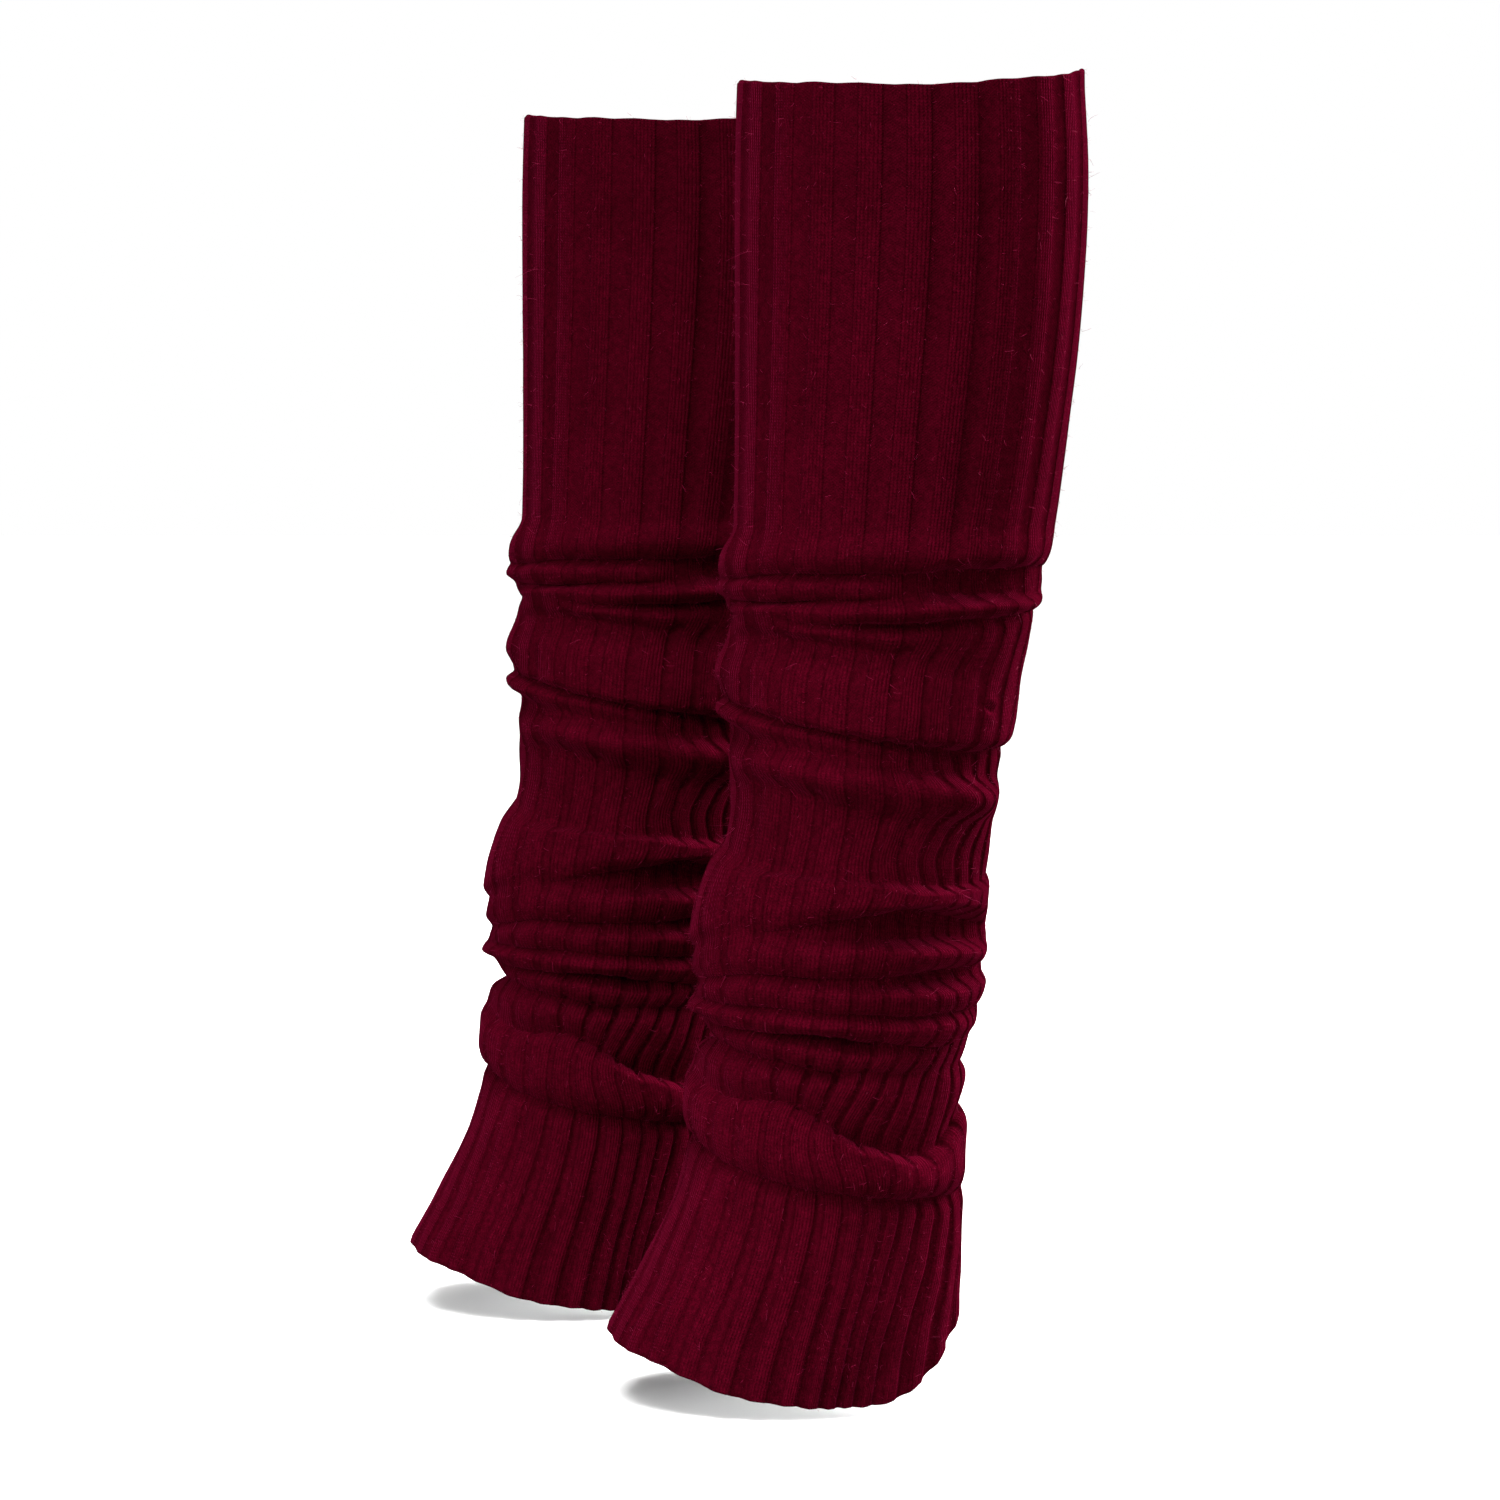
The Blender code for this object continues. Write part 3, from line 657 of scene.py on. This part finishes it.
def trough_depth(levels, angles, size):
    """How far the short troughs press the cloth in, at points a size away from the axis."""
    total = np.zeros(levels.shape)
    for trough in TROUGHS:
        aside = np.radians(turn_from(angles, trough.angle)) * size
        down = levels - trough.level
        tilt = math.radians(trough.climb)
        along = (aside * math.cos(tilt) - down * math.sin(tilt)) / trough.length
        cross = (aside * math.sin(tilt) + down * math.cos(tilt)) / trough.width
        middle = np.exp(-cross * cross)
        lips = np.exp(-((np.abs(cross) - LIP_PLACE) / LIP_WIDTH) ** 2)
        total += trough.depth * np.exp(-along ** 4) * (middle - LIP_HEIGHT * lips)
    return total


def unevenness(levels, angles):
    """A gentle unevenness, stronger in the slack cloth than in the stretched top."""
    turn = np.radians(angles)
    slack = np.clip((levels - SLACK_START) / SLACK_RUN, STRETCHED_SHARE, 1.0)
    broad = wave(turn, crests=3, shift=levels / 17.0) * wave(turn, crests=2, shift=levels / 11.0)
    middling = wave(turn, crests=7, shift=1.3 - levels / 9.0)
    middling = middling * wave(turn, crests=-3, shift=levels / 6.3)
    narrow = wave(turn, crests=13, shift=levels / 5.1)
    return UNEVEN_HEIGHT * slack * (broad + 0.7 * middling + 0.4 * narrow)


def grid_normals(points):
    """Outward normals of a grid of points that closes round the leg."""
    around = np.roll(points, -1, axis=1) - np.roll(points, 1, axis=1)
    down = np.gradient(points, axis=0)
    normal = np.cross(down, around)
    return normal / np.maximum(np.linalg.norm(normal, axis=-1, keepdims=True), TINY)


def edge_wander(row_count, numbers, shares):
    """How far the ends of the cloth lie below their lines, close to the rim and the hem."""
    rows = np.linspace(0.0, 1.0, row_count)[:, None]
    near_hem = np.exp(-((1.0 - rows) / EDGE_REACH) ** 2)
    near_rim = np.exp(-(rows / EDGE_REACH) ** 2)
    by_rib = WAVE_IN_RIB * np.sin(shares * math.tau) + WAVE_BY_RIB * np.cos(numbers * 1.7)
    return EDGE_WAVE * (near_hem - near_rim) * by_rib


def outer_grid():
    """The outer cloth: its points, the same without grooves, and for each point how deep
    it lies in a groove and its place in its rib."""
    places = row_places()
    shape = (len(places), RIB_COUNT * RIB_COLUMNS)
    levels, angles, bulges, shares, grooves = (np.empty(shape) for _ in range(5))
    numbers = np.repeat(np.arange(RIB_COUNT), RIB_COLUMNS)
    for row, (number, share) in enumerate(places):
        above, below = (LINES[line].levels[LEFT_SIDE] for line in (number, number + 1))
        middle = mix(above, below, share)
        shares[row] = np.tile(rib_shares(middle), RIB_COUNT)
        stray = RIB_STRAY * np.sin(numbers * 2.4 + middle / 23.0) * (numbers % 3 - 1)
        levels[row], angles[row], bulges[row] = cloth_row(
            number, share, numbers + shares[row] + stray,
        )
        grooves[row] = groove_depths(number + share, angles[row])
    bulges += unevenness(levels, angles)
    levels += edge_wander(len(places), numbers, shares)
    base = leg_points(levels, angles, bulges)
    size = np.linalg.norm(base[..., :2] - base[..., :2].mean(axis=1, keepdims=True), axis=-1)
    depth = sunken(shares, levels)
    relief = depth * grooves + trough_depth(levels, angles, size)
    points = base - grid_normals(base) * relief[..., None]
    return points, base, depth, shares


def inner_grid(base):
    """The plain inside of the wall, moved in square to the cloth at the lines."""
    places = row_places()
    at_lines = [row for row, (_, share) in enumerate(places) if share in (0.0, 1.0)]
    at_top = range(0, PLAIN_ROWS["rim"], INNER_TOP_STEP)
    in_flare = [row for row, (number, _) in enumerate(places) if number == len(LINES) - 2]
    rows = sorted({*at_lines, *at_top, *in_flare[::INNER_FLARE_STEP]})
    ridges = base[rows][:, ::2]
    around = np.roll(ridges, -1, axis=1) - np.roll(ridges, 1, axis=1)
    down = np.diff(ridges, axis=0)
    over = np.cross(np.concatenate((down[:1], down)), around)
    under = np.cross(np.concatenate((down, down[-1:])), around)
    over /= np.linalg.norm(over, axis=-1, keepdims=True)
    under /= np.linalg.norm(under, axis=-1, keepdims=True)
    outward = over + under
    outward /= np.linalg.norm(outward, axis=-1, keepdims=True)
    half_turn = np.maximum((outward * over).sum(axis=-1, keepdims=True), MITRE_LIMIT)
    return ridges - outward * WALL / half_turn


def edge_rings(outer_row, inner_row, direction):
    """Rows that round the wall's open edge, between the last outer and inner rows."""
    wide = np.empty(outer_row.shape)
    wide[::2] = inner_row
    wide[1::2] = (inner_row + np.roll(inner_row, -1, axis=0)) / 2.0
    rings = []
    for turn in EDGE_TURNS:
        share = (1.0 - math.cos(math.radians(turn))) / 2.0
        ring = mix(outer_row, wide, share)
        ring[:, 2] += EDGE_ROUND * WALL * math.sin(math.radians(turn)) * direction
        rings.append(ring)
    return rings


def grid_faces(start, rows, width):
    """Faces between neighbouring rows of a grid that closes round the leg."""
    faces = []
    for upper in range(start, start + (rows - 1) * width, width):
        lower = upper + width
        for spot in range(width):
            after = (spot + 1) % width
            faces.append((upper + spot, lower + spot, lower + after, upper + after))
    return faces


def wall_faces(outer_rows, wide, inner_rows, narrow):
    """Faces of a closed wall: the outside, the inside with half as many columns, and the
    triangles that join them at the rim and at the hem."""
    start = outer_rows * wide
    faces = grid_faces(0, outer_rows, wide)
    faces += [face[::-1] for face in grid_faces(start, inner_rows, narrow)]
    last_outer = start - wide
    last_inner = start + (inner_rows - 1) * narrow
    for spot in range(narrow):
        after = (spot + 1) % narrow
        first, middle, second = 2 * spot, 2 * spot + 1, (2 * spot + 2) % wide
        faces.append((start + spot, first, middle))
        faces.append((start + spot, middle, start + after))
        faces.append((start + after, middle, second))
        faces.append((last_outer + first, last_inner + spot, last_outer + middle))
        faces.append((last_outer + middle, last_inner + spot, last_inner + after))
        faces.append((last_outer + second, last_outer + middle, last_inner + after))
    return faces


def tube_mesh(name, points, base, depth, shares):
    """One leg warmer's cloth as a closed wall round its own axis, in metres."""
    inner = inner_grid(base)
    top = edge_rings(points[0], inner[0], 1.0)
    bottom = edge_rings(points[-1], inner[-1], -1.0)
    outside = np.array([*reversed(top), *points, *bottom])
    vertices = np.concatenate((outside.reshape(-1, 3), inner.reshape(-1, 3)))
    faces = wall_faces(*outside.shape[:2], *inner.shape[:2])
    mesh = bpy.data.meshes.new(name)
    mesh.from_pydata((vertices * MM).tolist(), [], faces)
    mesh.shade_smooth()
    add_coordinates(mesh, outside, inner, shares)
    add_groove_depth(mesh, depth, inner)
    mesh.update()
    return mesh


def with_edges(rows):
    """Values of the outside's rows, the first and last repeated on the rings at the edges."""
    rings = len(EDGE_TURNS)
    return np.concatenate((rows[:1].repeat(rings, 0), rows, rows[-1:].repeat(rings, 0)))


def run_down(grid):
    """How far each row lies down the cloth from the first one, on average."""
    steps = np.linalg.norm(np.diff(grid, axis=0), axis=-1).mean(axis=1)
    return np.concatenate(([0.0], np.cumsum(steps)))


def wale_places(shares):
    """Places counted in wales round the leg, from places in the ribs."""
    half = shares[:, GROOVE_END:GROOVE_END + 1]
    half_groove = GROOVE_WALES / 2.0
    in_rib = np.where(
        shares <= half,
        shares / half * half_groove,
        np.where(
            shares < 1.0 - half,
            half_groove + (shares - half) / (1.0 - 2.0 * half) * RIDGE_WALES,
            half_groove + RIDGE_WALES + (shares - 1.0 + half) / half * half_groove,
        ),
    )
    return in_rib + np.repeat(np.arange(RIB_COUNT), RIB_COLUMNS) * RIB_WALES


def grid_map(across, down):
    """Map coordinates of a grid's points, row by row: across them and down the rows."""
    across = np.broadcast_to(across, (len(down), np.shape(across)[-1]))
    return np.stack((across.ravel(), np.repeat(down, across.shape[1])), axis=-1)


def face_corners(mesh):
    """The vertex at each face corner, and the vertex at the first corner of its face."""

    def read(items, name):
        values = np.empty(len(items), dtype=np.int32)
        items.foreach_get(name, values)
        return values

    corners = read(mesh.loops, "vertex_index")
    starts = read(mesh.polygons, "loop_start")
    return corners, np.repeat(corners[starts], read(mesh.polygons, "loop_total"))


def kept_near(values, firsts, turn):
    """Moves values by a whole turn where that brings them to their face's first corner."""
    values = np.where(values - firsts > turn / 2.0, values - turn, values)
    return np.where(firsts - values > turn / 2.0, values + turn, values)


def add_coordinates(mesh, outside, inner, shares):
    """Gives the cloth a clean map to bake to, and coordinates counted in wales and courses."""
    wide, narrow = outside.shape[1], inner.shape[1]
    outer_down, inner_down = run_down(outside), run_down(inner)
    inner_wales = np.arange(narrow) * RIB_COUNT * RIB_WALES / narrow
    knit = np.concatenate((
        grid_map(wale_places(with_edges(shares)), outer_down / COURSE),
        grid_map(inner_wales, inner_down / COURSE),
    ))
    bake = np.concatenate((
        grid_map(np.arange(wide) / wide, 1.0 - OUTER_BAKE * outer_down / outer_down[-1]),
        grid_map(np.arange(narrow) / narrow, INNER_BAKE * (1.0 - inner_down / inner_down[-1])),
    ))
    corners, firsts = face_corners(mesh)
    bake_u = np.clip(kept_near(bake[corners, 0], bake[firsts, 0], 1.0), 0.0, 1.0)
    knit_u = kept_near(knit[corners, 0], knit[firsts, 0], RIB_COUNT * RIB_WALES)
    maps = (("OFBake", bake_u, bake[corners, 1]), ("Knit", knit_u, knit[corners, 1]))
    for title, u, v in maps:
        layer = mesh.uv_layers.new(name=title)
        layer.uv.foreach_set("vector", np.stack((u, v), axis=-1).astype(np.float32).ravel())


def add_groove_depth(mesh, depth, inner):
    """Gives the cloth an attribute: 1 on a groove's floor, 0 on a ridge, between inside."""
    groove = mesh.attributes.new("groove", "FLOAT", "POINT")
    inside = np.full(inner.shape[0] * inner.shape[1], INNER_GROOVE)
    values = np.concatenate((with_edges(depth).ravel(), inside))
    groove.data.foreach_set("value", values.astype(np.float32))


def connect(tree, made, inputs):
    """Sets a node's inputs, by name or number, and links those that are sockets."""
    for name, value in inputs.items():
        if isinstance(value, bpy.types.NodeSocket):
            tree.links.new(value, made.inputs[name])
        else:
            made.inputs[name].default_value = value


def node(tree, kind, inputs, **settings):
    """Adds a shader node with its settings and inputs."""
    made = tree.nodes.new(kind)
    for name, value in settings.items():
        setattr(made, name, value)
    connect(tree, made, inputs)
    return made


def maths(tree, operation, first, second=0.0, third=0.0):
    """The output of one Math node."""
    inputs = {0: first, 1: second, 2: third}
    return node(tree, "ShaderNodeMath", inputs, operation=operation).outputs[0]


def straight(tree, value, slope, start):
    """A value times a slope, plus a start."""
    return maths(tree, "MULTIPLY_ADD", value, slope, start)


def noise(tree, places, **inputs):
    """The output of one Noise node."""
    return node(tree, "ShaderNodeTexNoise", {"Vector": places, **inputs}).outputs["Fac"]


def new_material(name):
    """A new material, its tree of nodes and its shader."""
    material = bpy.data.materials.new(name)
    material.use_nodes = True
    return material, material.node_tree, material.node_tree.nodes["Principled BSDF"]


def stitch_height(tree, groove, places):
    """How high the knit stands: wales of stitches on the ridges, purl bumps in the grooves."""
    knit = node(tree, "ShaderNodeUVMap", {}, uv_map="Knit")
    apart = node(tree, "ShaderNodeSeparateXYZ", {0: knit.outputs["UV"]})
    course = apart.outputs["Y"]
    push = straight(tree, noise(tree, places, Scale=420.0, Detail=3.0), slope=0.5, start=-0.25)
    wale = maths(tree, "ADD", apart.outputs["X"], push)
    across = maths(tree, "FRACT", maths(tree, "ADD", wale, 0.5))
    off_middle = maths(tree, "ABSOLUTE", maths(tree, "SUBTRACT", across, 0.5))
    off_share = maths(tree, "MULTIPLY", off_middle, 2.0)
    rope = maths(tree, "SUBTRACT", 1.0, maths(tree, "POWER", off_share, 2.0))
    climbing = straight(tree, off_middle, slope=1.2, start=course)
    stitch = maths(tree, "SINE", maths(tree, "MULTIPLY", climbing, math.tau))
    stitched = straight(tree, stitch, slope=0.16, start=rope)
    purl_down = maths(tree, "SINE", maths(tree, "MULTIPLY", course, math.tau))
    purl_across = maths(tree, "COSINE", maths(tree, "MULTIPLY", wale, math.tau))
    purl = maths(tree, "MULTIPLY", purl_down, purl_across)
    purled = straight(tree, purl, slope=0.2, start=0.64)
    inputs = {0: groove, 2: stitched, 3: purled}
    return node(tree, "ShaderNodeMix", inputs, data_type="FLOAT").outputs[0]


def tone_and_painted_light(tree, groove, places, height, fuzz):
    """How light the cloth is from place to place, as a share of the yarn's colour: random
    patches, grain and mottle, with painted shade in the low places of the stitches, in the
    grooves and on the grooves' sides, and painted light that makes the cloth lighter down the
    leg.
    """
    patches = noise(tree, places, Scale=38.0, Detail=4.0)
    mottle = noise(tree, places, Scale=430.0, Detail=6.0, Roughness=0.7)
    up = node(tree, "ShaderNodeSeparateXYZ", {0: places}).outputs["Z"]
    # Largest half way up a groove's side, for painted shade along each step from groove to ridge
    painted_groove_side_shade = maths(tree, "MULTIPLY", groove, maths(tree, "SUBTRACT", 1.0, groove))
    tones = (
        straight(tree, patches, slope=0.6, start=0.7),
        straight(tree, fuzz, slope=2.0, start=0.0),
        # painted shade of the stitch relief: darker where the knit lies low, lighter where it
        # stands high
        straight(tree, height, slope=0.28, start=0.81),
        straight(tree, mottle, slope=1.7, start=0.15),
        # painted light: the cloth grows lighter down the leg, brightest at the flare
        straight(tree, up, slope=-1.0, start=0.82),
        # painted shade: a little darker on the grooves' floors
        straight(tree, groove, slope=-0.1, start=1.02),
        # painted shade: thin dark lines along the grooves' sides
        straight(tree, painted_groove_side_shade, slope=-1.2, start=1.0),
    )
    light = tones[0]
    for tone in tones[1:]:
        light = maths(tree, "MULTIPLY", light, tone)
    return light


def knit_material():
    """Dark wine red rib knit, matt, with a short nap."""
    material, tree, shader = new_material("wine_rib_knit")
    attribute = node(tree, "ShaderNodeAttribute", {}, attribute_name="groove")
    groove = attribute.outputs["Fac"]
    places = node(tree, "ShaderNodeTexCoord", {}).outputs["Object"]
    height = stitch_height(tree, groove, places)
    fuzz = noise(tree, places, Scale=1900.0, Detail=4.0)
    napped = straight(tree, fuzz, slope=0.5, start=height)
    bump = node(tree, "ShaderNodeBump", {"Strength": 0.8, "Distance": 0.0004, "Height": napped})
    # The yarn's colour carries random tone, and also painted shade and painted light
    light = tone_and_painted_light(tree, groove, places, height, fuzz)
    inputs = {0: 1.0, 6: YARN_COLOUR, 7: light}
    colour = node(tree, "ShaderNodeMix", inputs, data_type="RGBA", blend_type="MULTIPLY")
    connect(tree, shader, {
        "Base Color": colour.outputs[2],
        "Normal": bump.outputs["Normal"],
        "Roughness": 0.9,
        "Specular IOR Level": 0.0,
        "Sheen Weight": 0.2,
        "Sheen Roughness": 0.2,
        "Sheen Tint": SHEEN_TINT,
    })
    return material


def fibre_material():
    """Loose wool fibres, lighter and pinker than the knit."""
    material, tree, shader = new_material("wine_fibre")
    places = node(tree, "ShaderNodeTexCoord", {}).outputs["Object"]
    darker, lighter = FIBRE_COLOURS
    inputs = {0: noise(tree, places, Scale=90.0, Detail=2.0), 6: darker, 7: lighter}
    colour = node(tree, "ShaderNodeMix", inputs, data_type="RGBA").outputs[2]
    connect(tree, shader, {"Base Color": colour, "Roughness": 0.85, "Specular IOR Level": 0.2})
    return material


def strand_rings(places, aims, bends, lengths, radii, steps):
    """Rings of three points along each strand, which leaves the cloth and bends over."""
    rings = []
    for step in range(steps + 1):
        share = step / steps
        reach = lengths * (share - ROOT_SHARE)
        centre = places + aims * reach + bends * (lengths * share * share * BEND_SHARE)
        along = aims + bends * (2.0 * BEND_SHARE * share)
        along /= np.linalg.norm(along, axis=-1, keepdims=True)
        side = np.cross(along, aims + 0.37 * bends + 0.11)
        side /= np.linalg.norm(side, axis=-1, keepdims=True)
        other = np.cross(along, side)
        radius = radii * (1.0 - TAPER * share)
        ring = [centre + radius * (side * math.cos(a) + other * math.sin(a)) for a in THIRDS]
        rings.append(np.stack(ring, axis=1))
    return np.stack(rings, axis=1)


def strand_faces(start, steps):
    """Faces of one closed strand whose rings begin at a vertex."""
    faces = []
    for ring in range(start, start + 3 * steps, 3):
        for corner in range(3):
            after = (corner + 1) % 3
            faces.append((ring + corner, ring + after, ring + 3 + after, ring + 3 + corner))
    last = start + 3 * steps
    return [*faces, (start + 2, start + 1, start), (last, last + 1, last + 2)]


def add_strands(vertices, faces, points, normals, kind, chance):
    """Adds one kind of fibre, spread evenly over the outside of the cloth."""
    gaps = np.linalg.norm(np.gradient(points, axis=0), axis=-1).mean(axis=1)
    rows = chance.choice(points.shape[0], kind.count, p=gaps / gaps.sum())
    spots = chance.integers(0, points.shape[1], kind.count)
    roots = points[rows, spots] + chance.normal(0.0, ROOT_SCATTER, (kind.count, 3))
    wander = chance.normal(0.0, 1.0, (kind.count, 3))
    aims = normals[rows, spots] * kind.stand + wander * kind.spread
    aims /= np.linalg.norm(aims, axis=-1, keepdims=True)
    bends = np.cross(aims, chance.normal(0.0, 1.0, (kind.count, 3))) * kind.bend
    lengths = chance.uniform(SHORTEST, 1.0, (kind.count, 1)) * kind.length
    radii = np.full((kind.count, 1), kind.radius)
    rings = strand_rings(roots, aims, bends, lengths, radii, kind.steps)
    first = sum(len(part) for part in vertices)
    vertices.append(rings.reshape(-1, 3))
    per_strand = (kind.steps + 1) * 3
    for strand in range(kind.count):
        faces += strand_faces(first + strand * per_strand, kind.steps)


def fibre_mesh(name, points, normals):
    """Short fuzz and longer loose fibres over the outside of one leg warmer."""
    chance = np.random.default_rng(FIBRE_SEED)
    vertices, faces = [], []
    for kind in FIBRES:
        add_strands(vertices, faces, points, normals, kind, chance)
    mesh = bpy.data.meshes.new(name)
    mesh.from_pydata((np.concatenate(vertices) * MM).tolist(), [], faces)
    mesh.shade_smooth()
    return mesh


def place_pair():
    """The left leg warmer's cloth and fibres, and equal ones for the right leg."""
    points, base, depth, shares = outer_grid()
    cloth = tube_mesh("rib_knit_cloth", points, base, depth, shares)
    cloth.materials.append(knit_material())
    fibres = fibre_mesh("loose_fibres", points, grid_normals(points))
    fibres.materials.append(fibre_material())
    for side in ("left", "right"):
        for title, mesh in (("fuzz", fibres), ("knit", cloth)):
            piece = bpy.data.objects.new(f"{title}_{side}", mesh)
            bpy.context.scene.collection.objects.link(piece)
            if side == "right":
                piece.location = (STEP_ACROSS * MM, STEP_FORWARD * MM, 0.0)
                piece.rotation_euler = (0.0, 0.0, math.radians(RIGHT_TURN))
            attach(piece, "root")
        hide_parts(f"leg_warmer_{side}")


def look_along(thing, place, target):
    """Puts a camera or light at a place, looking at a target."""
    thing.location = place
    thing.rotation_euler = (Vector(target) - Vector(place)).to_track_quat("-Z", "Y").to_euler()
    bpy.context.scene.collection.objects.link(thing)
    return thing


def add_camera():
    """The photograph's view: from the wearer's left, a little above the middle."""
    data = bpy.data.cameras.new("camera")
    data.lens = CAMERA_LENS
    data.sensor_width = CAMERA_FILM
    place = Vector(CAMERA_PLACE)
    pitch = math.radians(CAMERA_PITCH)
    camera = bpy.data.objects.new("camera", data)
    look_along(camera, place, place + Vector((-math.cos(pitch), 0.0, -math.sin(pitch))))
    bpy.context.scene.camera = camera


def add_surroundings():
    """White surroundings, which the camera sees and which don't light the cloth."""
    world = bpy.data.worlds.new("studio")
    world.use_nodes = True
    background = world.node_tree.nodes["Background"]
    connect(world.node_tree, background, {"Color": WHITE, "Strength": 1.0})
    world.cycles_visibility.diffuse = False
    world.cycles_visibility.glossy = False
    bpy.context.scene.world = world


def add_floor():
    """A plain pale floor, which neither lights nor shades the cloth, and its own light."""
    mesh = bpy.data.meshes.new("floor")
    half = FLOOR_HALF
    corners = [(-half, -half, 0.0), (half, -half, 0.0), (half, half, 0.0), (-half, half, 0.0)]
    mesh.from_pydata(corners, [], [(0, 1, 2, 3)])
    floor = bpy.data.objects.new("floor", mesh)
    floor.location = (0.0, 0.0, FLOOR_LEVEL)
    material, tree, shader = new_material("floor")
    connect(tree, shader, {"Base Color": FLOOR_COLOUR, "Roughness": 0.8})
    mesh.materials.append(material)
    bpy.context.scene.collection.objects.link(floor)
    floor.visible_diffuse = False
    floor.visible_shadow = False
    sun = bpy.data.lights.new("floor_light", "SUN")
    sun.energy = FLOOR_SUN
    sun.angle = math.radians(FLOOR_SUN_WIDTH)
    even = bpy.data.objects.new("floor_light", sun)
    look_along(even, FLOOR_SUN_PLACE, (0.0, 0.0, 0.0))
    lit = bpy.data.collections.new("lit_by_floor_light")
    lit.objects.link(floor)
    even.light_linking.receiver_collection = lit


def add_light(name, place, size, power):
    """One soft square light turned to the middle of the pair."""
    data = bpy.data.lights.new(name, "AREA")
    data.size = size
    data.energy = power
    light = look_along(bpy.data.objects.new(name, data), place, MIDDLE)
    light.visible_camera = False


place_pair()
add_camera()
add_surroundings()
add_floor()
for light in LIGHTS:
    add_light(*light)
bpy.context.scene.view_settings.view_transform = "Standard"
